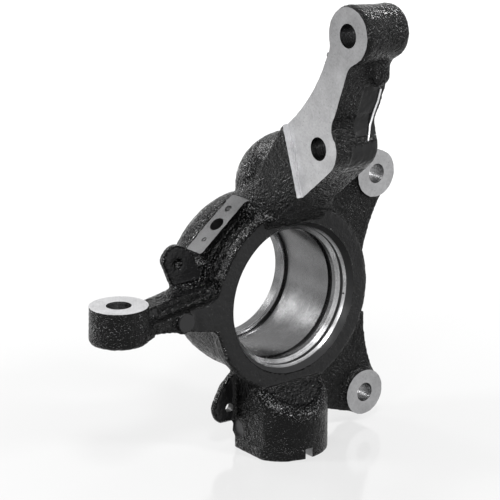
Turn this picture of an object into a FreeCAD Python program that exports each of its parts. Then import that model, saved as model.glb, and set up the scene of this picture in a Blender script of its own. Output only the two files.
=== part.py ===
# Steering knuckle: one iron casting, black coated, with its machined faces and bores.
#
# Frame (mm): the bearing bore's axis is Y, and the bore runs from its mouth on the car's side to
# +Y, towards the wheel. +Z is up, to the strut. -X is the side of the steering arm, +X the side of
# the brake caliper's two ears. The ball joint's boss is below. Every shape is drawn with y = 0 at
# the mouth, and the finished casting is moved so that the origin is the middle of the bearing seat.
import FreeCAD, Part
import math
import os
import re
import Sketcher

V = FreeCAD.Vector
NODE = "steering_knuckle"

# Every size has one name and is written once, here. Lengths in mm, angles in degrees.
SIZES = {
    # bearing housing
    "bearing_d": 72.0, "seat_start": 15.0, "seat_long": 37.0, "groove_d": 76.0, "groove_w": 2.7,
    "land_d": 73.6, "land_start": 9.6, "step_d": 77.4, "mouth_d": 80.0, "mouth_y": 4.0,
    "lead_d": 84.6, "lip_d": 66.0, "lip_w": 7.0, "relief_w": 1.6, "relief_deep": 0.5,
    "rim_d": 105.6, "rim_w": 7.0, "rim_bevel": 1.2, "waist_d": 97.0, "tail_d": 82.0, "hub_long": 60.0,
    # strut ear
    "ear_x": -17.0, "ear_w": 30.0, "ear_hole_d": 12.2, "ear_r": 14.2, "lobe_r": 15.6, "lobe_bevel": 1.8,
    "ear_low_y": -38.1, "ear_low_z": 93.0, "ear_rise": 60.6, "ear_lean": 21.4,
    "border_y": -13.6, "border_z": 102.0, "tip_y": -26.1, "tip_z": 64.8, "skin": 4.0, "ear_round": 3.5,
    # neck between the housing and the ear
    "neck_left": 19.5, "neck_right": 11.5, "neck_foot": 20.0, "neck_back": 42.0, "neck_top": 99.5,
    # caliper ears
    "cal_y": 4.0, "cal_hole_d": 11.0, "cal_r": 13.5, "cal_long": 17.0, "cal_web_y": 6.0, "cal_web_w": 13.0,
    "cal_up_x": 61.0, "cal_up_z": 60.0, "cal_low_x": 55.2, "cal_low_z": -68.3,
    # steering arm
    "tie_x": -115.0, "tie_z": 19.5, "tie_r": 15.4, "tie_high": 19.5, "tie_hole_d": 13.0,
    "ledge_z": 7.2, "spine_z": 15.5, "spot_x": -75.5, "spot_z": 1.5, "spot_d": 11.5, "spot_proud": 2.5,
    # ball joint boss
    "ball_x": -2.6, "ball_y": 7.8, "ball_r": 25.7, "ball_foot": -86.5,
    "ball_bore_d": 38.0, "ball_bore_deep": 25.0, "flat_in": 3.1, "ball_shoulder": 7.0,
    "slope_z": -61.0, "slope_turn": 38.0, "brim_high": 6.0, "brim_out": 1.1,
    "notch_x": -3.9, "notch_w": 4.8, "notch_high": 5.6, "patch_d": 11.0,
    # sensor pad and the two lugs for the dust shield
    "pad_turn": 129.0, "pad_r": 54.8, "pad_y": 18.0, "pad_w": 13.8, "pad_long": 40.0, "pad_hole_d": 8.4,
    "dome_r": 54.2, "lug_y": 20.0, "lug_w": 5.0, "lug_hole_d": 5.2, "dimple_deep": 2.5,
    "lug_up_x": -63.6, "lug_up_z": 26.9, "lug_low_x": -29.9, "lug_low_z": -62.4,
}

doc = FreeCAD.newDocument(NODE)
sheet = doc.addObject("Spreadsheet::Sheet", "Sizes")
for row, (word, value) in enumerate(SIZES.items(), start=1):
    sheet.set("A%d" % row, word)
    sheet.set("B%d" % row, str(value))
    sheet.setAlias("B%d" % row, word)
doc.recompute()
WORDS = re.compile(r"\b(" + "|".join(sorted(SIZES, key=len, reverse=True)) + r")\b")


def expr(text):
    """An expression on the sheet's cells, from one written with the plain words."""
    return WORDS.sub(r"Sizes.\1", str(text))


def value(text):
    """The number such an expression stands for now."""
    result = sheet.evalExpression(WORDS.sub(r"Sizes.\1", str(text)))
    return float(getattr(result, "Value", result))


def make_body(name):
    body = doc.addObject("PartDesign::Body", name)
    body.Label = name
    return body


def origin_plane(body, role):
    return [f for f in body.Origin.OriginFeatures if f.Role == role][0]


def sketch(body, name, role, lift, *loops):
    """Closed outlines on one of the body's planes, moved by lift along its normal.

    A loop is a list of corners (x, y) or (x, y, radius): with a radius, the side to the next corner
    is an arc, counter-clockwise when the radius is written first with "+" and clockwise with "-".
    A loop ("circle", x, y, radius) is a full circle. All are expressions on the sheet."""
    sk = body.newObject("Sketcher::SketchObject", name)
    sk.AttachmentSupport = [(origin_plane(body, role), "")]
    sk.MapMode = "FlatFace"
    sk.setExpression("AttachmentOffset.Base.z", expr(lift))
    for loop in loops:
        if loop[0] == "circle":
            add_circle(sk, *loop[1:])
        else:
            add_loop(sk, loop)
    doc.recompute()
    return sk


def pin(sk, geo, pos, axis, text):
    """Fixes one coordinate of a sketch point to an expression."""
    number = value(text)
    if abs(number) < 1e-9:
        sk.addConstraint(Sketcher.Constraint("PointOnObject", geo, pos, -2 if axis == "X" else -1))
        return
    index = sk.addConstraint(Sketcher.Constraint("Distance" + axis, -1, 1, geo, pos, number))
    sk.setExpression("Constraints[%d]" % index, expr(text))


def add_circle(sk, x, y, radius):
    geo = sk.addGeometry(Part.Circle(V(value(x), value(y), 0), V(0, 0, 1), value(radius)), False)
    pin(sk, geo, 3, "X", x)
    pin(sk, geo, 3, "Y", y)
    index = sk.addConstraint(Sketcher.Constraint("Radius", geo, value(radius)))
    sk.setExpression("Constraints[%d]" % index, expr(radius))


def add_loop(sk, corners):
    spots = [V(value(c[0]), value(c[1]), 0) for c in corners]
    first = None
    count = len(corners)
    ids = []
    for i, corner in enumerate(corners):
        a, b = spots[i], spots[(i + 1) % count]
        if len(corner) == 2:
            ids.append((sk.addGeometry(Part.LineSegment(a, b), False), 1, 2))
            continue
        ccw = corner[2].startswith("+")
        radius = value(corner[2][1:])
        half = (b - a) * 0.5
        rise = math.sqrt(max(radius ** 2 - half.Length ** 2, 0.0))
        normal = V(-half.y, half.x, 0).normalize()
        centre = a + half + normal * (rise if ccw else -rise)
        angles = [math.atan2(p.y - centre.y, p.x - centre.x) for p in ((a, b) if ccw else (b, a))]
        geo = sk.addGeometry(Part.ArcOfCircle(Part.Circle(centre, V(0, 0, 1), radius), *angles), False)
        ids.append((geo, 1, 2) if ccw else (geo, 2, 1))
        index = sk.addConstraint(Sketcher.Constraint("Radius", geo, radius))
        sk.setExpression("Constraints[%d]" % index, expr(corner[2][1:]))
    for i, (geo, start, end) in enumerate(ids):
        nxt, nstart, _ = ids[(i + 1) % count]
        sk.addConstraint(Sketcher.Constraint("Coincident", geo, end, nxt, nstart))
        pin(sk, geo, start, "X", corners[i][0])
        pin(sk, geo, start, "Y", corners[i][1])


def pad(body, name, sk, length, reverse=False, both=False):
    feature = body.newObject("PartDesign::Pad", name)
    feature.Profile = sk
    feature.setExpression("Length", expr(length))
    feature.Reversed = reverse
    feature.Midplane = both
    doc.recompute()
    return feature


def pocket(body, name, sk, length):
    feature = body.newObject("PartDesign::Pocket", name)
    feature.Profile = sk
    feature.setExpression("Length", expr(length))
    feature.Midplane = True
    doc.recompute()
    return feature


def revolve(body, name, sk, angle=360.0, both=False, axis="V_Axis"):
    feature = body.newObject("PartDesign::Revolution", name)
    feature.Profile = sk
    feature.ReferenceAxis = (sk, [axis])
    feature.Angle = angle
    feature.Midplane = both
    doc.recompute()
    return feature


def loft(body, name, sections):
    feature = body.newObject("PartDesign::AdditiveLoft", name)
    feature.Profile = sections[0]
    feature.Sections = sections[1:]
    doc.recompute()
    return feature


def round_edges(body, name, base, radius, test):
    """Fillet on those edges of the feature that pass the test."""
    names = ["Edge%d" % (i + 1) for i, e in enumerate(base.Shape.Edges) if test(e)]
    feature = body.newObject("PartDesign::Fillet", name)
    feature.Base = (base, names)
    feature.setExpression("Radius", expr(radius))
    doc.recompute()
    return feature


def plate(name, role, lift, length, outline, reverse=False):
    body = make_body(name)
    pad(body, name + "_pad", sketch(body, name + "_outline", role, lift, outline), length, reverse)
    return body


def plate_round(name, role, lift, x, y, diameter, length, reverse=True):
    return plate(name, role, lift, length, ("circle", x, y, "(%s)/2" % diameter), reverse)


# Bearing housing: a drum with a raised rim at the mouth, narrower behind it, rounded off at the back.
housing = make_body("housing")
sk = sketch(housing, "housing_half", "XY_Plane", 0, [
    ("0", "0"), ("rim_d/2 - rim_bevel", "0"), ("rim_d/2", "rim_bevel"), ("rim_d/2", "rim_w"),
    ("waist_d/2", "rim_w + 5"), ("waist_d/2", "hub_long - 20"),
    ("waist_d/2 - (waist_d - tail_d)*0.07", "hub_long - 12"), ("waist_d/2 - (waist_d - tail_d)*0.23", "hub_long - 5"),
    ("tail_d/2", "hub_long"), ("0", "hub_long")])
revolve(housing, "housing_turn", sk)

# Strut ear: two lobes round the bolts, a waist between them, and a foot that runs down to the rim.
up_y, up_z = "(ear_low_y - ear_lean)", "(ear_low_z + ear_rise)"
ear = make_body("strut_ear")
sk = sketch(ear, "ear_outline", "YZ_Plane", "ear_x - skin", [
    (up_y + " - ear_r*0.985", up_z + " + ear_r*0.17", "+ear_r"),
    (up_y + " - ear_r*0.45", up_z + " - ear_r*0.893", "-13"),
    (up_y + " + ear_r*0.10", up_z + " - ear_r*1.56"),
    ("ear_low_y - ear_r*0.86", "ear_low_z + ear_r*1.27", "-9"),
    ("ear_low_y - ear_r*0.93", "ear_low_z + ear_r*0.37", "+ear_r"),
    ("ear_low_y - ear_r*0.70", "ear_low_z - ear_r*0.714"),
    ("2", "rim_d/2 - 11"), ("12", "rim_d/2 - 11"), ("border_y + 21", "border_z - 31"),
    ("border_y + 16.5", "border_z - 23.5"), ("border_y + 2.5", "border_z - 3"),
    ("border_y + 1", "border_z - 0.5", "-100"),
    (up_y + " + ear_r*0.95", up_z + " - ear_r*0.50", "+13"),
    (up_y + " + ear_r*0.999", up_z + " - ear_r*0.04", "+ear_r"),
    (up_y + " - ear_r*0.1", up_z + " + ear_r*0.995", "+ear_r")])
ear_pad = pad(ear, "ear_pad", sk, "ear_w + skin")
# the back edges of both lobes are rounded as cast
back, upper, lower = value("ear_x + ear_w"), value(up_z + " - ear_r/2"), value("ear_low_z + ear_r/2")
round_edges(ear, "ear_back_round", ear_pad, "ear_round", lambda e: (
    abs(e.BoundBox.XMin - back) < 0.01 and e.BoundBox.YMax < value("border_y - 4")
    and e.BoundBox.YLength > 2 and (e.BoundBox.Center.z > upper or e.BoundBox.ZMax < lower)))
# the upper lobe is thickest just behind its milled face and tapers to the back, as its mould drew
lobe = make_body("ear_lobe")
sk = sketch(lobe, "lobe_half", "XZ_Plane", 0, [
    ("ear_x - 0.4", "0"), ("ear_x + ear_w - 3", "0"), ("ear_x + ear_w - 3", "ear_r - 0.7"),
    ("ear_x + lobe_bevel", "lobe_r"), ("ear_x - 0.4", "lobe_r - lobe_bevel")])
revolve(lobe, "lobe_turn", sk, axis="H_Axis")
lobe.setExpression("Placement.Base.y", expr(up_y))
lobe.setExpression("Placement.Base.z", expr(up_z))
# a half-round tab cast on the front of the waist, under the upper lobe
tab = make_body("ear_tab")
sk = sketch(tab, "tab_outline", "XZ_Plane", "-(%s - ear_r*0.1)" % up_y, [
    ("ear_x + ear_w - 13.5", up_z + " - ear_r"), ("ear_x + ear_w - 13.5", up_z + " - ear_r*1.65", "+6.3"),
    ("ear_x + ear_w - 1.5", up_z + " - ear_r*1.65"), ("ear_x + ear_w - 1.5", up_z + " - ear_r")])
pad(tab, "tab_pad", sk, "12", True)

# Neck: a round-backed ridge that carries the ear down into the housing. On the arm's side a flat
# cheek rises to an edge that falls away to the back, and above it the ridge swells out.
neck = make_body("neck")
sections = []
for i, (y, foot, fall, left, right, cheek) in enumerate([
        ("-12", "rim_d/2 + 10", "0", "neck_left - 0.5", "neck_right", "4.5"),
        ("4", "rim_d/2 - 12", "5", "neck_left + 0.5", "neck_right", "18.5"),
        ("20", "rim_d/2 - 15", "12", "neck_left - 1", "neck_right - 1.5", "24"),
        ("32", "rim_d/2 - 15", "23", "neck_left - 5", "neck_right - 4", "19"),
        ("neck_back", "rim_d/2 - 15", "42", "neck_left - 10.5", "neck_right - 7.5", "7.5")]):
    half = "((%s) + (%s))/2" % (left, right)
    top = "neck_top - (%s)" % fall
    swell = "((%s)^2 + (%s)^2)/(2*(%s))" % (half, cheek, cheek)
    sections.append(sketch(neck, "neck_section_%d" % (i + 1), "XZ_Plane", "-(%s)" % y, [
        ("-neck_left - 1", foot), ("neck_foot", foot), (right, "%s - %s" % (top, half), "+" + half),
        ("((%s) - (%s))/2" % (right, left), top, "+" + swell), ("-(%s)" % left, "%s - %s" % (top, cheek))]))
loft(neck, "neck_loft", sections)

# Caliper ears: round bosses on a web that stands back from the rim.
cal_low = plate("caliper_web_low", "XZ_Plane", "-cal_web_y", "cal_web_w", [
    ("30", "-10"), ("rim_d/2 + 3", "-20", "+90"), ("cal_low_x + cal_r*0.86", "cal_low_z + cal_r*0.38"),
    ("cal_low_x - cal_r*0.34", "cal_low_z - cal_r*0.91"), ("ball_x + 22", "cal_low_z - 2"), ("8", "-40")], True)
cal_up = plate("caliper_web_up", "XZ_Plane", "-cal_web_y", "cal_web_w", [
    ("30", "8"), ("rim_d/2 + 1", "14", "-90"), ("cal_up_x + cal_r*0.77", "cal_up_z - cal_r*0.57"),
    ("cal_up_x - cal_r*0.38", "cal_up_z + cal_r*0.88"), ("8", "70"), ("8", "40")], True)
cal_ears = []
for name, x, z in (("caliper_ear_low", "cal_low_x", "cal_low_z"), ("caliper_ear_up", "cal_up_x", "cal_up_z")):
    body = make_body(name)
    sk = sketch(body, name + "_round", "XZ_Plane", "-cal_y", ("circle", x, z, "cal_r"))
    pad(body, name + "_pad", sk, "cal_long", True)
    cal_ears.append(body)

# Steering arm: a ledge flush with the rim, a spine behind it, and the tie rod's boss at its end.
def bar(name, stations):
    body = make_body(name)
    cuts = [sketch(body, "%s_section_%d" % (name, i + 1), "YZ_Plane", x, [
        (front, low), (rear, low), (rear, high), (front, high)])
        for i, (x, front, rear, low, high) in enumerate(stations)]
    loft(body, name + "_loft", cuts)
    return body


arm = bar("arm_ledge", [
    ("tie_x + 6", "-9", "6", "2.6", "ledge_z + 1"), ("tie_x + 24", "-5", "7", "0", "ledge_z + 0.4"),
    ("tie_x + 40", "-1", "8", "-3.8", "ledge_z + 0.6"), ("-rim_d/2 + 4", "0", "8", "-9", "ledge_z + 3")])
spine = bar("arm_spine", [("tie_x + 8", "-3", "10", "0.5", "spine_z - 1.5"),
                          ("tie_x + 40", "4", "20", "-4", "spine_z - 1"),
                          ("-rim_d/2 + 10", "8", "32", "-12", "spine_z + 0.5")])
root = plate("arm_root", "XZ_Plane", "0", "rim_w + 1", [
    ("-rim_d/2 - 11.2", "ledge_z", "+12"), ("-rim_d/2 + 2", "ledge_z + 13"),
    ("-rim_d/2 + 14", "ledge_z + 16"), ("-rim_d/2 + 14", "-30"),
    ("-rim_d/2 + 2.4", "-16", "+10"), ("-rim_d/2 - 9.2", "-6.6")], True)
spot = plate_round("arm_spot", "XZ_Plane", "spot_proud", "spot_x", "spot_z", "spot_d", "6")
tie = make_body("tie_rod_boss")
sk = sketch(tie, "tie_half", "XZ_Plane", 0, [
    ("0", "tie_z - tie_high"), ("tie_r - 1", "tie_z - tie_high"),
    ("tie_r + 0.5", "tie_z - tie_high + 1.5"), ("tie_r", "tie_z"), ("0", "tie_z")])
revolve(tie, "tie_turn", sk)
tie.setExpression("Placement.Base.x", "Sizes.tie_x")
# the foot of the boss runs out under the arm
tie_foot = plate("tie_foot", "XY_Plane", "tie_z - tie_high + 0.2", "6", [
    ("tie_x + tie_r*0.55", "-tie_r*0.8"), ("tie_x + tie_r*1.1", "-tie_r*0.52"),
    ("tie_x + tie_r*1.14", "5"), ("tie_x + tie_r*0.5", "10")])

# Ball joint boss: a drum below the rim, flat on the arm's side. Its top slopes from the front up to
# the rim, with a round shoulder all along.
ball = make_body("ball_joint_boss")
flat_x, flat_y = "(ball_x - ball_r + flat_in)", "sqrt(ball_r^2 - (ball_r - flat_in)^2)"
sk = sketch(ball, "ball_outline", "XY_Plane", "ball_foot", [
    (flat_x, "ball_y - " + flat_y, "+ball_r"), ("ball_x", "ball_y - ball_r", "+ball_r"),
    ("ball_x + ball_r", "ball_y", "+ball_r"), ("ball_x", "ball_y + ball_r", "+ball_r"),
    ("ball_x - ball_r*0.5", "ball_y + ball_r*0.866"), (flat_x + " - 1", "ball_y + 13")])
high = "(ball_r*2*tan(slope_turn))"
ball_pad = pad(ball, "ball_pad", sk, "slope_z - ball_foot + " + high)
slope = pocket(ball, "ball_slope", sketch(ball, "slope_outline", "YZ_Plane", 0, [
    ("ball_y - ball_r", "slope_z"), ("ball_y + ball_r", "slope_z + " + high),
    ("ball_y + ball_r + 2", "slope_z + 2*" + high), ("ball_y - ball_r - 2", "slope_z + 2*" + high),
    ("ball_y - ball_r - 2", "slope_z")]), "ball_r*2 + 8")
low = value("slope_z - 2")
round_edges(ball, "ball_shoulder", slope, "ball_shoulder", lambda e: e.BoundBox.ZMin > low)
brim_r, brim_x = "(ball_r + brim_out*0.7)", "(ball_r - flat_in + brim_out)"
brim = plate("ball_brim", "XY_Plane", "ball_foot", "brim_high", [
    ("ball_x - " + brim_x, "ball_y - sqrt(%s^2 - %s^2)" % (brim_r, brim_x), "+" + brim_r),
    ("ball_x - %s*0.5" % brim_r, "ball_y - %s*0.8660254" % brim_r),
    ("ball_x", "ball_y - ball_r + 4"), ("ball_x", "ball_y + 10"), ("ball_x - " + brim_x, "ball_y + 12")])

# Sensor pad: a machined strip on a block, and the dome of the housing behind it.
def turn_to_pad(body):
    """Turns a body made on the +X side about the bore's axis, to the sensor pad's direction."""
    body.Placement = FreeCAD.Placement(V(0, 0, 0), FreeCAD.Rotation(V(0, -1, 0), value("pad_turn")))
    body.setExpression("Placement.Rotation.Angle", "Sizes.pad_turn")


dome = make_body("sensor_dome")
sk = sketch(dome, "dome_half", "XY_Plane", 0, [
    ("38", "14"), ("pad_r - 5", "14"), ("pad_r - 1", "pad_y + 6"), ("dome_r - 1", "pad_y + pad_w"),
    ("dome_r", "pad_y + pad_w + 8"), ("dome_r - 0.4", "pad_y + pad_w + 13"),
    ("dome_r - 3", "pad_y + pad_w + 18.5"), ("46", "54"), ("38", "54")])
revolve(dome, "dome_turn", sk, 62.0, True)
turn_to_pad(dome)
block = plate("sensor_block", "YZ_Plane", "pad_r", "18", [
    ("pad_y", "-pad_long/2"), ("pad_y + pad_w", "-pad_long/2"),
    ("pad_y + pad_w", "pad_long/2"), ("pad_y", "pad_long/2")], True)
turn_to_pad(block)
# the same strip goes on unmachined, a step lower, up to the neck
strip = plate("sensor_strip", "YZ_Plane", "pad_r - 1", "17", [
    ("pad_y + 0.5", "0"), ("pad_y + 3", "-pad_long/2 - 15"),
    ("pad_y + pad_w - 0.5", "-pad_long/2 - 15"), ("pad_y + pad_w - 0.5", "0")], True)
turn_to_pad(strip)

# Two lugs that carry the dust shield.
lugs = [
    plate("lug_up", "XZ_Plane", "-lug_y", "lug_w", [
        ("-38", "0"), ("lug_up_x - 3", "lug_up_z - 14"), ("lug_up_x - 9.6", "lug_up_z + 1.5", "-9.5"),
        ("lug_up_x - 1", "lug_up_z + 10.5", "-17"), ("lug_up_x + 13.5", "lug_up_z - 4"), ("-38", "lug_up_z - 8")], True),
    plate("lug_low", "XZ_Plane", "-lug_y", "lug_w", [
        ("-10", "-40"), ("-26", "-42"), ("lug_low_x - 4.6", "lug_low_z + 13"), ("lug_low_x - 9.6", "lug_low_z + 4", "+10"),
        ("lug_low_x - 4", "lug_low_z - 9.4", "+12"), ("lug_low_x + 10", "lug_low_z - 5")], True)]

# The casting as poured: all of these joined.
raw = doc.addObject("Part::MultiFuse", "casting")
raw.Shapes = ([housing, ear, lobe, tab, neck, cal_low, cal_up] + cal_ears
              + [arm, spine, root, spot, tie, tie_foot, ball, brim, dome, block, strip] + lugs)
doc.recompute()

# Bearing bore: lead-in, step, snap-ring groove, ground seat, relief and the lip the bearing sits on.
bore = make_body("bearing_bore")
seat_end = "(seat_start + seat_long)"
sk = sketch(bore, "bore_half", "XY_Plane", 0, [
    ("0", "-20"), ("lead_d/2", "-20"), ("lead_d/2", "0"), ("mouth_d/2", "mouth_y"),
    ("step_d/2", "mouth_y + (mouth_d - step_d)/2"), ("step_d/2", "land_start - (step_d - land_d)/2"),
    ("land_d/2", "land_start"), ("land_d/2", "seat_start - groove_w"),
    ("groove_d/2", "seat_start - groove_w"), ("groove_d/2", "seat_start"), ("bearing_d/2", "seat_start"),
    ("bearing_d/2", seat_end + " - relief_w"), ("bearing_d/2 + relief_deep", seat_end + " - relief_w"),
    ("bearing_d/2 + relief_deep", seat_end), ("lip_d/2 + 1.2", seat_end), ("lip_d/2", seat_end + " + 1.2"),
    ("lip_d/2", seat_end + " + lip_w - 1.2"), ("lip_d/2 + 1.2", seat_end + " + lip_w"),
    ("lip_d/2 + 1.2", "hub_long + 20"), ("0", "hub_long + 20")])
revolve(bore, "bore_turn", sk)

# The milled face of the ear stops at a border, behind which the cast skin stands proud.
mill = plate("ear_face_cut", "YZ_Plane", "ear_x", "30", [
    ("border_y*2 - tip_y", "border_z*2 - tip_z"), ("-110", "200"), ("-110", "tip_z"),
    ("tip_y - 14", "tip_z - 14"), ("tip_y*1.5 - border_y*0.5", "tip_z*1.5 - border_z*0.5")], True)
patch = plate("ball_patch", "YZ_Plane", flat_x + " + 2", "20",
              ("circle", "ball_y + patch_d", "ball_foot + patch_d", "patch_d/2"), True)

pad_hole = plate_round("pad_hole", "YZ_Plane", "pad_r + 5", "pad_y + pad_w/2", "0", "pad_hole_d", "pad_r - 20")
turn_to_pad(pad_hole)
holes = [
    plate_round("ear_hole_low", "YZ_Plane", "ear_x - 5", "ear_low_y", "ear_low_z", "ear_hole_d", "ear_w + 10", False),
    plate_round("ear_hole_up", "YZ_Plane", "ear_x - 5", up_y, up_z, "ear_hole_d", "ear_w + 10", False),
    plate_round("cal_hole_low", "XZ_Plane", "-cal_y + 5", "cal_low_x", "cal_low_z", "cal_hole_d", "cal_long + 10"),
    plate_round("cal_hole_up", "XZ_Plane", "-cal_y + 5", "cal_up_x", "cal_up_z", "cal_hole_d", "cal_long + 10"),
    plate_round("tie_hole", "XY_Plane", "tie_z + 5", "tie_x", "0", "tie_hole_d", "tie_high + 10"),
    plate_round("ball_hole", "XY_Plane", "ball_foot - 5", "ball_x", "ball_y", "ball_bore_d", "ball_bore_deep + 5", False),
    plate_round("lug_hole_low", "XZ_Plane", "-lug_y + 2", "lug_low_x", "lug_low_z", "lug_hole_d", "lug_w + 4"),
    plate_round("lug_hole_up", "XZ_Plane", "-lug_y + 2", "lug_up_x", "lug_up_z", "lug_hole_d", "dimple_deep + 2"),
    pad_hole]
notch = plate("ball_notch", "XZ_Plane", "-(ball_y - ball_r - 5)", "ball_r - ball_bore_d/2 + 10", [
    ("notch_x - notch_w/2", "ball_foot - 2"), ("notch_x + notch_w/2", "ball_foot - 2"),
    ("notch_x + notch_w/2", "ball_foot + notch_high"), ("notch_x - notch_w/2", "ball_foot + notch_high")], True)

cuts = doc.addObject("Part::MultiFuse", "machining")
cuts.Shapes = [bore, mill, patch, notch] + holes
knuckle = doc.addObject("Part::Cut", "steering_knuckle")
knuckle.Base = raw
knuckle.Tool = cuts
knuckle.Label = NODE
knuckle.setExpression("Placement.Base.y", "-(Sizes.seat_start + Sizes.seat_long / 2)")
doc.recompute()

bad = [thing.Name for thing in doc.Objects if "Invalid" in thing.State or "Error" in thing.State]
if bad:
    raise RuntimeError("not solved: " + ", ".join(bad))
shape = knuckle.Shape
if shape.isNull() or not shape.isValid() or len(shape.Solids) != 1:
    raise RuntimeError("the casting is not one valid solid")
print("volume %.0f mm3, box %s" % (shape.Volume, shape.BoundBox))
os.makedirs("parts", exist_ok=True)
shape.exportStep("parts/%s.step" % NODE)
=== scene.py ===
# Steering knuckle: the iron casting with its rough black coat, and the faces and bores that were
# machined into it afterwards. It is made here as it is in the foundry: the cast blank first,
# with stock where it will be cut, and then the milled faces, the turned bore and the drilled holes.
import math
import bpy
from mathutils import Matrix, Vector


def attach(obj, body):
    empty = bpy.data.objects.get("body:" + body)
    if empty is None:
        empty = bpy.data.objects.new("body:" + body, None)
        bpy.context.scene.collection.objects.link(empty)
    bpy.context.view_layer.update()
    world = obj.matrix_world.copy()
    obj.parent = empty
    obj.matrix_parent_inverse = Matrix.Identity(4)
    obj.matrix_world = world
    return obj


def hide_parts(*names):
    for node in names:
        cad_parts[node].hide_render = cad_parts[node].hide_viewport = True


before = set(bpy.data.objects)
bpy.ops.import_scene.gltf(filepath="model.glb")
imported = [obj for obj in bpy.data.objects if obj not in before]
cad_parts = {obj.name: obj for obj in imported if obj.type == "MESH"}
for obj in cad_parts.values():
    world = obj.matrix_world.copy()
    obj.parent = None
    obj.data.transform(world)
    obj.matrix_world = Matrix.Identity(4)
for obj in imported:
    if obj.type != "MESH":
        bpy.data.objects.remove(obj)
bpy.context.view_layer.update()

MM = 0.001
NODE = "steering_knuckle"
X, Y, Z = (1, 0, 0), (0, 1, 0), (0, 0, 1)

# The part's places and sizes in mm, measured from the mouth of the bore
SEAT = 33.5                                       # the middle of the bearing seat
HUB_LONG = 60.0                                   # the drum, from its mouth to its rear face
RING_R = 52.9                                     # the edge of the drum's front ring
EAR_X, EAR_MID, EAR_BACK = -17.0, -4.0, 13.0      # the strut ear's milled face, its middle and its back
EAR_HOLES = [(-38.1, 93.0), (-59.5, 153.6)]       # y and z of the two strut bolts
EAR_HOLE_R, NUT_SEAT_R = 6.1, 11.6
BORDER = [(-13.6, 102.0), (-26.1, 64.8)]          # y and z of both ends of the milled face's straight border
CALIPER_HOLES = [(61.0, 60.0), (55.2, -68.3)]     # x and z of the two caliper bolts
CALIPER_FACE, CALIPER_MID = 4.0, 11.5
CALIPER_HOLE_R, CALIPER_CUT_R = 5.5, 15.5
TIE_X, TIE_Y, TIE_TOP = -115.0, 0.0, 19.5
TIE_HOLE_R, TIE_CUT_R = 6.5, 19.0
BALL_X, BALL_Y, BALL_R, BALL_BORE_R = -2.6, 7.8, 25.7, 19.0
FOOT = -86.5                                      # the flat underside of the ball joint boss
SLOPE_Z, SLOPE_TURN = -61.0, math.radians(38.0)   # the front end and the tilt of that boss's top
PATCH_Y, PATCH_Z = 18.8, FOOT + 11                # the round patch on that boss's side
NOTCH_X = -3.9
PAD_TURN = math.radians(129.0)
PAD_R, PAD_MID, PAD_LONG, PAD_HOLE_R = 54.8, 24.9, 40.0, 4.2
STAMP_ASIDE = 11.1                                # the stamped marks, from the middle of the pad
LUG_X, LUG_Y, LUG_Z, LUG_HOLE_R = -29.9, 22.5, -62.4, 2.6
PORE_TURN, PORE_OUT, PORE_Y = math.radians(-8.5), 39.5, 4.9

# The skin: the mesh that carries it, and how sandy each region came out of the mould. At the ring edge, the
# boss shoulder and the domes the raised value is partly rougher sand and partly painted glints, as it adds
# bright worn flecks there.
SKIN_STEP = 1.05
GRAIN_WIDE, GRAIN_DEEP = 2.2, 0.5
SAND_AND_GLINTS = {"ring edge": 2.4, "boss shoulder": 5.2, "dome": 2.4,
        "ring face": 0.3, "lug face": 0.35, "flank": 0.15}
# Width and fade of the band of painted glints along the boss's shoulder
SHOULDER_GLINT_WIDE, SHOULDER_GLINT_FADE = 4.5, 0.8

pad_out = Vector((math.cos(PAD_TURN), 0, math.sin(PAD_TURN)))
pad_way = Vector((math.sin(PAD_TURN), 0, -math.cos(PAD_TURN)))


def at(x, y, z):
    """A place given in mm from the bore's mouth, as a place in the frame in metres."""
    return Vector((x * MM, (y - SEAT) * MM, z * MM))


def on_pad(out, y=PAD_MID, aside=0.0):
    """A place given in mm from the bore's axis along the sensor pad's direction, and aside from it."""
    return pad_out * out * MM + pad_way * aside * MM + at(0, y, 0)


# Ways of working
def deselect():
    if bpy.context.object and bpy.context.object.mode != "OBJECT":
        bpy.ops.object.mode_set(mode="OBJECT")
    bpy.ops.object.select_all(action="DESELECT")


def only(piece):
    deselect()
    piece.select_set(True)
    bpy.context.view_layer.objects.active = piece
    return piece


def settle(piece, name):
    """Names a piece and puts its place, turn and scale into its mesh."""
    only(piece)
    piece.name = name
    piece.data.name = name
    bpy.ops.object.transform_apply(location=True, rotation=True, scale=True)
    return piece


def facing_along(axis):
    return Vector(axis).to_track_quat("Z", "Y").to_euler()


def bar(name, middle, axis, radius, length, sides=64):
    """A round bar with its middle at a place in metres, its sizes in mm."""
    deselect()
    bpy.ops.mesh.primitive_cylinder_add(
        vertices=sides, radius=radius * MM, depth=length * MM, location=middle, rotation=facing_along(axis))
    return settle(bpy.context.object, name)


def rod(name, start, end, radius, sides=12):
    """A round bar from one place to another, in metres."""
    return bar(name, (start + end) / 2, end - start, radius, (end - start).length / MM, sides)


def block(name, middle, size, turn=(0, 0, 0)):
    deselect()
    bpy.ops.mesh.primitive_cube_add(size=1, location=middle, rotation=turn)
    bpy.context.object.scale = [s * MM for s in size]
    return settle(bpy.context.object, name)


def lump(name, middle, size):
    deselect()
    bpy.ops.mesh.primitive_ico_sphere_add(subdivisions=2, radius=1, location=middle)
    bpy.context.object.scale = [s * MM for s in size]
    return settle(bpy.context.object, name)


def ring(name, middle, axis, radius, thick):
    deselect()
    bpy.ops.mesh.primitive_torus_add(
        major_segments=28, minor_segments=10, major_radius=radius * MM, minor_radius=thick * MM,
        location=middle, rotation=facing_along(axis))
    return settle(bpy.context.object, name)


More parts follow.
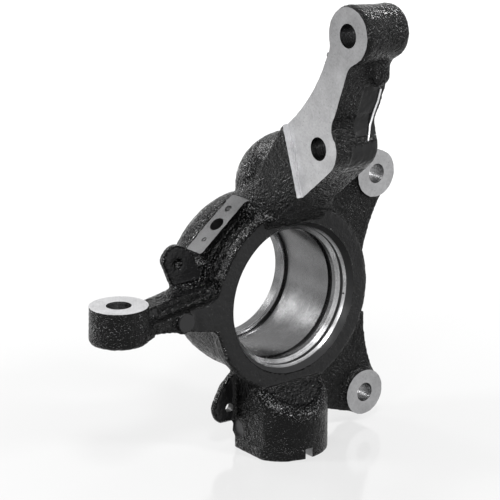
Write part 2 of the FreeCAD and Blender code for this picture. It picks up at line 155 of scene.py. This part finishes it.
def turned(name, start, steps, sides=192):
    """A turned shape along Y, from a disc that is extruded and scaled to each (y, radius) in turn."""
    deselect()
    bpy.ops.mesh.primitive_circle_add(
        vertices=sides, radius=start[1] * MM, fill_type="NGON", location=at(0, start[0], 0),
        rotation=(math.pi / 2, 0, 0))
    piece = settle(bpy.context.object, name)
    bpy.ops.object.mode_set(mode="EDIT")
    bpy.ops.mesh.select_all(action="SELECT")
    y, radius = start
    for new_y, new_radius in steps:
        bpy.ops.mesh.extrude_region_move(TRANSFORM_OT_translate={"value": (0, (new_y - y) * MM, 0)})
        scale = new_radius / radius
        bpy.ops.transform.resize(value=(scale, 1, scale), center_override=at(0, new_y, 0))
        y, radius = new_y, new_radius
    bpy.ops.mesh.select_all(action="SELECT")
    bpy.ops.mesh.normals_make_consistent(inside=False)
    return settle(piece, name)


def stock(blank, name, facing, place, depth):
    """The metal left to be cut off a flat face: the face's own outline, raised by depth."""
    sink, flat = 0.6 * MM, 2e-5
    only(blank)
    bpy.ops.object.duplicate()
    piece = bpy.context.object
    facing = Vector(facing).normalized()
    keep = place.dot(facing)
    bpy.ops.object.mode_set(mode="EDIT")
    bpy.ops.mesh.select_mode(type="FACE")
    bpy.ops.mesh.select_all(action="DESELECT")
    bpy.ops.object.mode_set(mode="OBJECT")
    for face in piece.data.polygons:
        level = abs(face.center.dot(facing) - keep) < flat
        face.select = not (level and face.normal.dot(facing) > 0.999)
    bpy.ops.object.mode_set(mode="EDIT")
    bpy.ops.mesh.delete(type="FACE")
    bpy.ops.mesh.select_all(action="SELECT")
    bpy.ops.transform.translate(value=-facing * sink)
    bpy.ops.mesh.extrude_region_move(TRANSFORM_OT_translate={"value": facing * (depth * MM + sink)})
    bpy.ops.mesh.select_all(action="SELECT")
    bpy.ops.mesh.normals_make_consistent(inside=False)
    return settle(piece, name)


def join(pieces, name):
    deselect()
    for piece in pieces:
        piece.select_set(True)
    bpy.context.view_layer.objects.active = pieces[0]
    bpy.ops.object.join()
    return settle(pieces[0], name)


def finish_with(piece, *finishes):
    for finish in finishes:
        piece.data.materials.append(finish)
    return piece


def apply(piece, kind, name, **values):
    only(piece)
    modifier = piece.modifiers.new(name, kind)
    for key, value in values.items():
        setattr(modifier, key, value)
    bpy.ops.object.modifier_apply(modifier=modifier.name)
    return piece


def work(blank, operation, tools, name):
    """Cuts tools out of the blank, or adds them to it. Each leaves its own finish."""
    tool = join(tools, name) if len(tools) > 1 else tools[0]
    apply(blank, "BOOLEAN", name, operation=operation, solver="EXACT", material_mode="TRANSFER", object=tool)
    bpy.data.objects.remove(tool)


# What the materials are made of
def add(tree, kind, **values):
    node = tree.nodes.new(kind)
    for key, value in values.items():
        if key in node.inputs:
            node.inputs[key].default_value = value
        else:
            setattr(node, key, value)
    return node


def combine(tree, operation, first, second):
    node = add(tree, "ShaderNodeMath", operation=operation)
    for index, value in enumerate((first, second)):
        if isinstance(value, float):
            node.inputs[index].default_value = value
        else:
            tree.links.new(value, node.inputs[index])
    return node.outputs["Value"]


def plus(tree, first, second):
    return combine(tree, "ADD", first, second)


def times(tree, first, second):
    return combine(tree, "MULTIPLY", first, second)


def spread(tree, value, low, high, to_low, to_high):
    """Takes a value from one range to another and keeps it inside the second."""
    node = add(tree, "ShaderNodeMapRange")
    for key, number in (("From Min", low), ("From Max", high), ("To Min", to_low), ("To Max", to_high)):
        node.inputs[key].default_value = number
    tree.links.new(value, node.inputs["Value"])
    return node.outputs["Result"]


def noise(tree, place, scale, detail=2.0, rough=0.5):
    node = add(tree, "ShaderNodeTexNoise", Scale=scale, Detail=detail, Roughness=rough)
    tree.links.new(place, node.inputs["Vector"])
    return node.outputs["Fac"]


def new_group(name, takes, gives):
    tree = bpy.data.node_groups.new(name, "ShaderNodeTree")
    for word, kind in takes:
        tree.interface.new_socket(name=word, in_out="INPUT", socket_type=kind)
    for word in gives:
        tree.interface.new_socket(name=word, in_out="OUTPUT", socket_type="NodeSocketFloat")
    return tree, tree.nodes.new("NodeGroupInput"), tree.nodes.new("NodeGroupOutput")


def cast_skin_group():
    """The skin a sand mould leaves under the coat: round grains, finer sand, slow swells, worn peaks. The
    worn peaks are partly wear and partly painted glints.
    """
    tree, take, give = new_group(
        "cast_skin", [("Place", "NodeSocketVector"), ("Sand", "NodeSocketFloat")],
        ["Height", "Rough", "Tone", "Wear_and_glints"])
    link = tree.links.new
    place, sand = take.outputs["Place"], take.outputs["Sand"]
    patches = spread(tree, noise(tree, place, 38.0, 1.0), 0.36, 0.6, 0.55, 1.0)
    strength = times(tree, patches, sand)

    grains = add(tree, "ShaderNodeTexVoronoi", feature="SMOOTH_F1", Scale=780.0, Smoothness=0.25)
    link(place, grains.inputs["Vector"])
    rounds = combine(tree, "SUBTRACT", 0.8, grains.outputs["Distance"])
    fine = noise(tree, place, 1050.0, 1.0)
    coarse = noise(tree, place, 520.0, 1.0)
    sandy = plus(tree, times(tree, rounds, 0.6), times(tree, fine, 0.7))
    sandy = plus(tree, sandy, times(tree, coarse, 0.9))
    swell = times(tree, noise(tree, place, 120.0), 0.6)
    link(plus(tree, times(tree, sandy, strength), swell), give.inputs["Height"])

    # Worn peaks: partly wear and partly painted glints, with more of them where Sand is raised
    lifted = plus(tree, noise(tree, place, 1250.0, 2.0, 0.6), times(tree, strength, 0.05))
    peaks = spread(tree, lifted, 0.70, 0.79, 0.0, 0.75)
    link(times(tree, peaks, combine(tree, "MINIMUM", strength, 1.0)), give.inputs["Wear_and_glints"])

    link(spread(tree, noise(tree, place, 70.0, 3.0), 0.35, 0.65, 0.0, 1.0), give.inputs["Rough"])
    cloud = spread(tree, noise(tree, place, 260.0, 4.0, 0.65), 0.3, 0.7, 0.0, 0.12)
    smooth = times(tree, combine(tree, "SUBTRACT", 1.0, sand), 1.3)
    link(plus(tree, cloud, smooth), give.inputs["Tone"])
    return tree


def tool_marks_group():
    """What a cutter leaves in bare iron: fine lines, cloudy patches and the dots of graphite."""
    tree, take, give = new_group(
        "tool_marks",
        [("Place", "NodeSocketVector"), ("Along", "NodeSocketFloat"), ("Lines", "NodeSocketFloat")],
        ["Shade", "Rough", "Height"])
    link = tree.links.new
    place = take.outputs["Place"]
    strokes = add(tree, "ShaderNodeTexNoise", noise_dimensions="1D", Scale=1.0, Detail=3.0, Roughness=0.7)
    wander = times(tree, noise(tree, place, 60.0), 0.0012)
    along = plus(tree, take.outputs["Along"], wander)
    link(times(tree, along, take.outputs["Lines"]), strokes.inputs["W"])
    line = strokes.outputs["Fac"]
    cloud = noise(tree, place, 95.0, 5.0, 0.62)
    speck = noise(tree, place, 900.0, 2.0, 0.6)
    graphite = add(tree, "ShaderNodeTexVoronoi", Scale=520.0)
    link(place, graphite.inputs["Vector"])
    dots = spread(tree, graphite.outputs["Distance"], 0.06, 0.2, 0.62, 1.0)

    shade = plus(tree, spread(tree, line, 0.25, 0.75, -0.10, 0.10), spread(tree, cloud, 0.3, 0.7, 0.80, 1.04))
    shade = plus(tree, shade, spread(tree, speck, 0.3, 0.7, -0.09, 0.09))
    link(times(tree, shade, dots), give.inputs["Shade"])
    rough = plus(tree, spread(tree, line, 0.3, 0.7, -0.05, 0.07), spread(tree, cloud, 0.3, 0.7, -0.03, 0.05))
    link(rough, give.inputs["Rough"])
    link(plus(tree, line, times(tree, speck, 0.5)), give.inputs["Height"])
    return tree


cast_skin = cast_skin_group()
tool_marks = tool_marks_group()


def material(name):
    mat = bpy.data.materials.new(name)
    mat.use_nodes = True
    return mat, mat.node_tree, mat.node_tree.nodes["Principled BSDF"]


def bump(tree, shader, height, depth):
    node = add(tree, "ShaderNodeBump", Strength=1.0, Distance=depth)
    tree.links.new(height, node.inputs["Height"])
    tree.links.new(node.outputs["Normal"], shader.inputs["Normal"])


def black_coat(name, sand, dark, light, rough, depth):
    """Black coat on the cast skin, worn to bare iron on the highest grains. These light bare flecks are
    partly wear and partly painted glints.
    """
    mat, tree, shader = material(name)
    link = tree.links.new
    shader.inputs["Specular IOR Level"].default_value = 0.13
    skin = add(tree, "ShaderNodeGroup", node_tree=cast_skin)
    link(add(tree, "ShaderNodeTexCoord").outputs["Object"], skin.inputs["Place"])
    sanded = add(tree, "ShaderNodeAttribute", attribute_name="sand")
    link(times(tree, sanded.outputs["Fac"], sand), skin.inputs["Sand"])
    tone = add(tree, "ShaderNodeMix", data_type="RGBA")
    tone.inputs["A"].default_value = (dark, dark, dark * 1.05, 1)
    tone.inputs["B"].default_value = (light, light, light * 1.03, 1)
    link(skin.outputs["Tone"], tone.inputs["Factor"])
    bare = add(tree, "ShaderNodeMix", data_type="RGBA")
    bare.inputs["B"].default_value = (0.36, 0.36, 0.365, 1)
    link(skin.outputs["Wear_and_glints"], bare.inputs["Factor"])
    link(tone.outputs["Result"], bare.inputs["A"])
    link(bare.outputs["Result"], shader.inputs["Base Color"])
    link(skin.outputs["Wear_and_glints"], shader.inputs["Metallic"])
    link(spread(tree, skin.outputs["Rough"], 0.0, 1.0, *rough), shader.inputs["Roughness"])
    bump(tree, shader, skin.outputs["Height"], depth)
    return mat


def bare_iron(name, tone, rough, lines, along, depth=0.00002, metallic=1.0, painted_top_shade=1.0):
    """Machined iron. The marks run square to an axis or round a place, and a painted shade darkens the upper
    end.
    """
    mat, tree, shader = material(name)
    link = tree.links.new
    shader.inputs["Metallic"].default_value = metallic
    place = add(tree, "ShaderNodeTexCoord").outputs["Object"]
    kind, way = along
    run = add(tree, "ShaderNodeVectorMath", operation=kind)
    link(place, run.inputs[0])
    run.inputs[1].default_value = way
    marks = add(tree, "ShaderNodeGroup", node_tree=tool_marks, Lines=lines)
    link(place, marks.inputs["Place"])
    link(run.outputs["Value"], marks.inputs["Along"])
    apart = add(tree, "ShaderNodeSeparateXYZ")
    link(place, apart.inputs["Vector"])
    # Painted shade: the face is made darker towards its upper end.
    painted_shade_factor = spread(tree, apart.outputs["Z"], 0.07, 0.155, 1.0, painted_top_shade)
    shade = times(tree, times(tree, marks.outputs["Shade"], painted_shade_factor), 0.5)
    grey = add(tree, "ShaderNodeMix", data_type="RGBA")
    grey.inputs["A"].default_value = (0, 0, 0, 1)
    grey.inputs["B"].default_value = (tone * 2, tone * 2, tone * 2.03, 1)
    link(shade, grey.inputs["Factor"])
    link(grey.outputs["Result"], shader.inputs["Base Color"])
    link(plus(tree, marks.outputs["Rough"], rough), shader.inputs["Roughness"])
    bump(tree, shader, marks.outputs["Height"], depth)
    return mat


# The finishes
def square_to(axis):
    return "DOT_PRODUCT", axis


def round_a(place):
    return "DISTANCE", place


coat = black_coat("black_coat", sand=1.0, dark=0.0005, light=0.012, rough=(0.08, 0.24), depth=0.0009)
smooth_coat = black_coat("smooth_coat", sand=0.08, dark=0.008, light=0.022, rough=(0.3, 0.42), depth=0.0003)
# The milled ear face gets painted shade towards its upper end.
milled = bare_iron("milled_iron", 0.46, 0.42, 2600.0, round_a((0.05, -0.16, 0.30)), painted_top_shade=0.5)
spot_faced = bare_iron("spot_faced_iron", 0.35, 0.40, 2600.0, round_a((0.16, -0.10, 0.0)))
pad_iron = bare_iron("pad_iron", 0.085, 0.42, 1800.0, square_to((0.777, 0, 0.629)))
ground = bare_iron("ground_iron", 0.16, 0.24, 5200.0, square_to(Y), depth=0.000012)
# Painted highlight: a lighter copy of the turned iron for the chamfers and the rear face.
turned_painted_highlight = bare_iron("turned_iron_painted_highlight", 0.30, 0.26, 3600.0, square_to(Y))
# Painted shade: near-black turned iron for the step, the grooves, the small holes and the stamped marks.
turned_painted_shade = bare_iron("turned_iron_painted_shade", 0.03, 0.4, 3600.0, square_to(Y), metallic=0.6)
tie_iron = bare_iron("tie_iron", 0.6, 0.4, 2600.0, round_a((-0.3, 0.1, 0.0)))
# Painted highlight: milled iron made lighter for the ear's border wall and the mould ridge.
cut_edge_painted_highlight = bare_iron("cut_edge_iron_painted_highlight", 0.75, 0.3, 2600.0, square_to(X))
drilled_x = bare_iron("drilled_iron_x", 0.2, 0.24, 3000.0, square_to(X), depth=0.00004)
drilled_y = bare_iron("drilled_iron_y", 0.24, 0.24, 3000.0, square_to(Y), depth=0.00004)
drilled_z = bare_iron("drilled_iron_z", 0.3, 0.24, 3000.0, square_to(Z), depth=0.00004)


# The casting
def stocks(blank):
    """Stock on each face that is cut."""
    return [
        stock(blank, "ear_stock", (-1, 0, 0), at(EAR_X, 0, 0), 4.0),
        stock(blank, "caliper_stock", (0, -1, 0), at(0, CALIPER_FACE, 0), 2.0),
        stock(blank, "tie_stock", Z, at(0, 0, TIE_TOP), 2.0),
        stock(blank, "foot_stock", (0, 0, -1), at(0, 0, FOOT), 2.0),
        stock(blank, "rear_stock", Y, at(0, HUB_LONG, 0), 2.0),
        stock(blank, "pad_stock", pad_out, pad_out * PAD_R * MM, 1.5),
    ]


def fills():
    """The metal in each bore, seat and notch before it is cut, and the flash by the milled face."""
    pieces = [
        bar("bore_front_fill", at(0, 10, 0), Y, radius=44.0, length=20.0, sides=96),
        bar("bore_rear_fill", at(0, 36.5, 0), Y, radius=38.0, length=51.0, sides=96),
        bar("tie_fill", at(TIE_X, TIE_Y, TIE_TOP / 2 + 1), Z, radius=7.5, length=TIE_TOP + 2),
        bar("ball_fill", at(BALL_X, BALL_Y, FOOT + 12), Z, radius=20.5, length=28.0),
        bar("pad_fill", on_pad(44), pad_out, radius=5.2, length=24.6),
        bar("lug_fill", at(LUG_X, LUG_Y, LUG_Z), Y, radius=3.2, length=5.0),
        bar("patch_fill", at(-20.6, PATCH_Y, PATCH_Z), X, radius=6.2, length=9.2),
        block("notch_fill", at(NOTCH_X, -13.0, FOOT + 2.4), (7, 9.6, 8.8)),
        lump("flash_high", at(-13.4, -42.0, 141.5), (2.0, 2.6, 2.4)),
        lump("flash_low", at(-13.8, -40.6, 137.4), (1.6, 2.2, 1.9)),
    ]
    for y, z in EAR_HOLES:
        pieces.append(bar("ear_fill", at(EAR_MID, y, z), X, radius=7.2, length=34.0))
        pieces.append(bar("nut_seat_stock", at(EAR_BACK - 1, y, z), X, radius=10.4, length=4.4))
    for x, z in CALIPER_HOLES:
        pieces.append(bar("caliper_fill", at(x, CALIPER_MID, z), Y, radius=6.6, length=19.0))
    return pieces


def cast_blank():
    """The casting as it leaves the mould: every bore still full, stock on each face, and its sandy skin."""
    only(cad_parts[NODE])
    bpy.ops.object.duplicate()
    blank = bpy.context.object
    blank.parent = None
    only(blank)
    bpy.ops.object.mode_set(mode="EDIT")
    bpy.ops.mesh.select_all(action="SELECT")
    bpy.ops.mesh.remove_doubles(threshold=1e-6)
    bpy.ops.object.mode_set(mode="OBJECT")
    blank = join([blank] + stocks(blank) + fills(), "steering_knuckle_casting")
    blank.data.materials.clear()
    apply(blank, "REMESH", "skin", mode="VOXEL", voxel_size=SKIN_STEP * MM)
    apply(blank, "SMOOTH", "rounded", factor=0.5, iterations=5)
    grain = bpy.data.textures.new("cast_grain", "CLOUDS")
    grain.noise_scale = GRAIN_WIDE * MM
    grain.noise_depth = 1
    apply(blank, "DISPLACE", "grain", texture=grain, texture_coords="LOCAL",
          strength=-GRAIN_DEEP * MM, mid_level=0.0)
    return finish_with(blank, coat)


# The cutters: one for each face and bore, with the finish that it leaves
def bore_cutter():
    cutter = turned("bore_cutter", (-20, 42.3), [
        (0, 42.3), (4, 40.0), (5.3, 38.7), (7.7, 38.7), (9.6, 36.8), (12.3, 36.8), (12.3, 38.0),
        (15, 38.0), (15, 36.0), (50.4, 36.0), (50.4, 36.5), (52, 36.5), (52, 34.2), (53.2, 33.0),
        (57.8, 33.0), (59, 34.2), (80, 34.2)])
    # The lighter turned iron paints the highlights on the chamfers, and the near-black one paints the shade
    # in the step and grooves.
    ends = [(3.9, smooth_coat), (5.25, turned_painted_highlight), (7.65, turned_painted_shade), (9.5, turned_painted_highlight),
            (12.25, ground), (14.99, turned_painted_shade), (50.3, ground), (51.9, turned_painted_shade),
            (53.1, turned_painted_highlight), (57.7, ground), (58.9, turned_painted_highlight), (80.1, ground)]
    finish_with(cutter, *[finish for end, finish in ends])
    for face in cutter.data.polygons:
        y = face.center.y / MM + SEAT
        face.material_index = [y < end for end, finish in ends].index(True)
    return cutter


def ear_cutter():
    """Mills the ear's face down to its straight border, whose own edge gets a lighter iron as a painted
    highlight.
    """
    (top_y, top_z), (low_y, low_z) = BORDER
    way = Vector((0, top_y - low_y, top_z - low_z)).normalized()
    out = Vector((0, -way.z, way.y))
    middle = (at(EAR_X, top_y, top_z) + at(EAR_X, low_y, low_z)) / 2
    thick, wide, high = 30, 120, 260
    cutter = block("ear_cutter", middle + out * (wide / 2) * MM - Vector(X) * (thick / 2) * MM,
                   (thick, wide, high), (-math.atan2(way.y, way.z), 0, 0))
    finish_with(cutter, milled, cut_edge_painted_highlight)
    for face in cutter.data.polygons:
        face.material_index = int(abs(face.normal.dot(out)) > 0.9)
    return cutter


def face_cutters():
    deep = 10.0
    cutters = [
        bore_cutter(),
        ear_cutter(),
        finish_with(bar("tie_cutter", at(TIE_X, TIE_Y, TIE_TOP + deep / 2), Z, TIE_CUT_R, deep), tie_iron),
        finish_with(block("foot_cutter", at(BALL_X, BALL_Y, FOOT - deep / 2), (70, 70, deep)), spot_faced),
        finish_with(block("pad_cutter", on_pad(PAD_R + deep / 2), (PAD_LONG + 0.4, 16.0, deep),
                          (0, -(PAD_TURN - math.pi / 2), 0)), pad_iron),
        finish_with(bar("patch_cutter", at(-32.2, PATCH_Y, PATCH_Z), X, radius=5.5, length=18.0), pad_iron),
    ]
    for y, z in EAR_HOLES:
        seat = bar("nut_seat_cutter", at(EAR_BACK + 4.9, y, z), X, NUT_SEAT_R, deep)
        cutters.append(finish_with(seat, spot_faced))
    for x, z in CALIPER_HOLES:
        face = bar("caliper_cutter", at(x, CALIPER_FACE - deep / 2, z), Y, CALIPER_CUT_R, deep)
        cutters.append(finish_with(face, spot_faced))
    return cutters


def rear_cutter():
    return finish_with(bar("rear_cutter", at(0, HUB_LONG + 5, 0), Y, radius=60.0, length=10.0, sides=96),
                       turned_painted_highlight)


def drills():
    through = 40.0
    tools = [
        finish_with(bar("tie_drill", at(TIE_X, TIE_Y, TIE_TOP / 2), Z, TIE_HOLE_R, through), drilled_z),
        finish_with(bar("ball_drill", at(BALL_X, BALL_Y, FOOT + 5), Z, BALL_BORE_R, through, 96), drilled_z),
        finish_with(bar("pad_drill", on_pad(50), pad_out, PAD_HOLE_R, through), turned_painted_shade),
        finish_with(bar("lug_drill", at(LUG_X, LUG_Y, LUG_Z), Y, LUG_HOLE_R, 9.0), turned_painted_shade),
    ]
    for y, z in EAR_HOLES:
        tools.append(finish_with(bar("ear_drill", at(EAR_MID, y, z), X, EAR_HOLE_R, 50.0), drilled_x))
    for x, z in CALIPER_HOLES:
        drill = bar("caliper_drill", at(x, CALIPER_MID, z), Y, CALIPER_HOLE_R, through)
        tools.append(finish_with(drill, drilled_y))
    return tools


def small_cutters():
    """The notch in the ball joint boss, a dent and a hook stamped in the pad, and a pore in the bore. The
    dent, the hook and the pore get near-black iron as painted shade.
    """
    pore_way = Vector((math.cos(PORE_TURN), 0, math.sin(PORE_TURN)))
    pore_place = pore_way * PORE_OUT * MM + at(0, PORE_Y, 0)
    return [
        finish_with(block("notch_cutter", at(NOTCH_X, -15.0, FOOT + 1.8), (4.8, 16.0, 7.6)), spot_faced),
        finish_with(lump("stamp_dent", on_pad(PAD_R + 0.5, 26.0, STAMP_ASIDE), (2.3, 2.3, 2.3)), turned_painted_shade),
        finish_with(ring("stamp_hook", on_pad(PAD_R, 24.7, -STAMP_ASIDE), pad_out, 1.1, 0.5), turned_painted_shade),
        finish_with(bar("pore", pore_place, pore_way, radius=0.45, length=3.0, sides=16), turned_painted_shade),
    ]


def raise_marks(blank):
    """The thin ridge that the joint of the mould left along the ear's flank, and a round mark on the arm."""
    ridge = [at(9.3, -55.2, 123.7), at(9.6, -52.8, 117.1), at(9.2, -50.1, 110.4), at(8.4, -48.5, 104.0),
             at(6.3, -50.1, 99.6), at(4.1, -51.9, 96.7)]
    for start, end in zip(ridge, ridge[1:]):
        # The ridge is fettled bare iron, partly painted light for the bright line along it.
        work(blank, "UNION", [finish_with(rod("mould_ridge", start, end, 0.6), cut_edge_painted_highlight)], "mould_ridge")
    mark = bar("round_mark", at(-75.2, -2.4, 2.5), Y, radius=4.8, length=2.0)
    work(blank, "UNION", [finish_with(mark, smooth_coat)], "round_mark")


def from_shoulder(x, y, z):
    """How far a place is from the ball joint boss's shoulder, where its side turns into its sloping top."""
    top = SLOPE_Z + (y - BALL_Y + BALL_R) * math.tan(SLOPE_TURN)
    return math.hypot(math.dist((x, y), (BALL_X, BALL_Y)) - BALL_R + 1.2, z - top + 1.0)


def sand_and_glints_at(place, facing):
    """How sandy the skin is: flat moulded faces came out smoother, and edges and domes rougher. At the ring
    edge, the boss shoulder and the domes the higher value also paints glints, as bright worn flecks.
    """
    x, y, z = place.x / MM, place.y / MM + SEAT, place.z / MM
    out = math.hypot(x, z)
    front = facing.y < -0.9
    # Painted highlight: more bright worn flecks along the ring's edge
    if y < 2.5 and abs(out - RING_R) < 1.4 and x < 20 and z > -25 and facing.y > -0.95:
        return SAND_AND_GLINTS["ring edge"]
    near = from_shoulder(x, y, z)
    # Painted highlight: the band of bright worn flecks along the boss's shoulder
    if z < -48 and y < 3 and near < SHOULDER_GLINT_WIDE:
        return SAND_AND_GLINTS["boss shoulder"] - near * SHOULDER_GLINT_FADE
    if front and -2 < y < 1.2 and z < 62:
        return SAND_AND_GLINTS["ring face"]
    if front and 19 < y < 21:
        return SAND_AND_GLINTS["lug face"]
    if y < -44 and facing.y < -0.6 and (x > -2 and 99 < z < 126 or x > -6 and 76 < z < 95):
        return SAND_AND_GLINTS["flank"]
    # Partly rougher sand, partly painted highlight: more bright worn flecks on the domes
    if y > 12 and x < 0 and z > -40 and out > 50 and facing.y > -0.6 and facing.x < 0.3:
        return SAND_AND_GLINTS["dome"]
    return 1.0


casting = cast_blank()
work(casting, "DIFFERENCE", face_cutters(), "machined_faces")
work(casting, "DIFFERENCE", [rear_cutter()], "rear_face")
work(casting, "DIFFERENCE", drills(), "drilled_holes")
work(casting, "DIFFERENCE", small_cutters(), "small_cuts")
raise_marks(casting)
sand = casting.data.attributes.new("sand", "FLOAT", "POINT")
for vertex, value in zip(casting.data.vertices, sand.data):
    value.value = sand_and_glints_at(vertex.co, vertex.normal)
only(casting)
bpy.ops.object.shade_smooth_by_angle(angle=math.radians(38))
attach(casting, "root")
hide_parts(NODE)


# Floor, light and camera
def seen_directly(tree):
    """1 for the rays that show the background: straight to the camera, in metal and through glass."""
    path = add(tree, "ShaderNodeLightPath")
    seen = combine(tree, "MAXIMUM", path.outputs["Is Camera Ray"], path.outputs["Is Glossy Ray"])
    return combine(tree, "MAXIMUM", seen, path.outputs["Is Transmission Ray"])


def white_floor():
    """A pale floor that glows to white further out and keeps the casting's shadow and reflection."""
    deselect()
    bpy.ops.mesh.primitive_plane_add(size=6, location=(0, 0, FOOT * MM))
    floor = settle(bpy.context.object, "floor")
    mat, tree, shader = material("white_floor")
    shader.inputs["Base Color"].default_value = (0.12, 0.12, 0.12, 1)
    shader.inputs["Roughness"].default_value = 0.12
    shader.inputs["Specular IOR Level"].default_value = 0.25
    shader.inputs["Emission Color"].default_value = (1, 1, 1, 1)
    away = add(tree, "ShaderNodeVectorMath", operation="LENGTH")
    tree.links.new(add(tree, "ShaderNodeTexCoord").outputs["Object"], away.inputs[0])
    glow = spread(tree, away.outputs["Value"], 0.12, 0.75, 0.62, 0.80)
    tree.links.new(times(tree, seen_directly(tree), glow), shader.inputs["Emission Strength"])
    return finish_with(floor, mat)


def white_world():
    """White where it is seen, and half as strong where it only lights."""
    world = bpy.data.worlds.new("studio")
    bpy.context.scene.world = world
    world.use_nodes = True
    tree = world.node_tree
    tree.nodes.clear()
    sky = add(tree, "ShaderNodeBackground", Color=(1, 1, 1, 1))
    tree.links.new(spread(tree, seen_directly(tree), 0.0, 1.0, 0.5, 1.0), sky.inputs["Strength"])
    out = add(tree, "ShaderNodeOutputWorld")
    tree.links.new(sky.outputs["Background"], out.inputs["Surface"])


def softbox(name, place, size, watts):
    """A square soft light that looks at the part's middle."""
    data = bpy.data.lights.new(name, "AREA")
    data.shape = "SQUARE"
    data.size = size
    data.energy = watts
    lamp = bpy.data.objects.new(name, data)
    bpy.context.scene.collection.objects.link(lamp)
    lamp.location = place
    lamp.rotation_euler = (Vector(place) - Vector((0, 0, 0.03))).to_track_quat("Z", "Y").to_euler()


def set_camera(place, view, right, lens):
    data = bpy.data.cameras.new("camera")
    data.sensor_width = 36.0
    data.lens = lens
    camera = bpy.data.objects.new("camera", data)
    bpy.context.scene.collection.objects.link(camera)
    turn = Matrix((right, view.cross(right), view)).transposed().to_4x4()
    camera.matrix_world = Matrix.Translation(place) @ turn
    bpy.context.scene.camera = camera


white_floor()
white_world()
softbox("key_left_behind", (-1.05, 0.75, 0.8), 0.25, 17)
softbox("top_left", (-0.48, -0.72, 1.05), 0.2, 11)
softbox("behind", (-0.3, 1.3, 0.55), 0.35, 10)
softbox("right_behind", (1.1, 0.45, 0.7), 0.15, 3)
softbox("fill_right", (0.5, -1.03, 0.86), 0.24, 14)
softbox("front_left", (-1.2, -0.7, 0.5), 0.15, 6)
set_camera(Vector((-0.5922, -0.7516, 0.3032)), view=Vector((-0.590, -0.7556, 0.284)),
           right=Vector((0.7880, -0.6157, 0.0)), lens=129.6)
bpy.context.scene.view_settings.view_transform = "Standard"
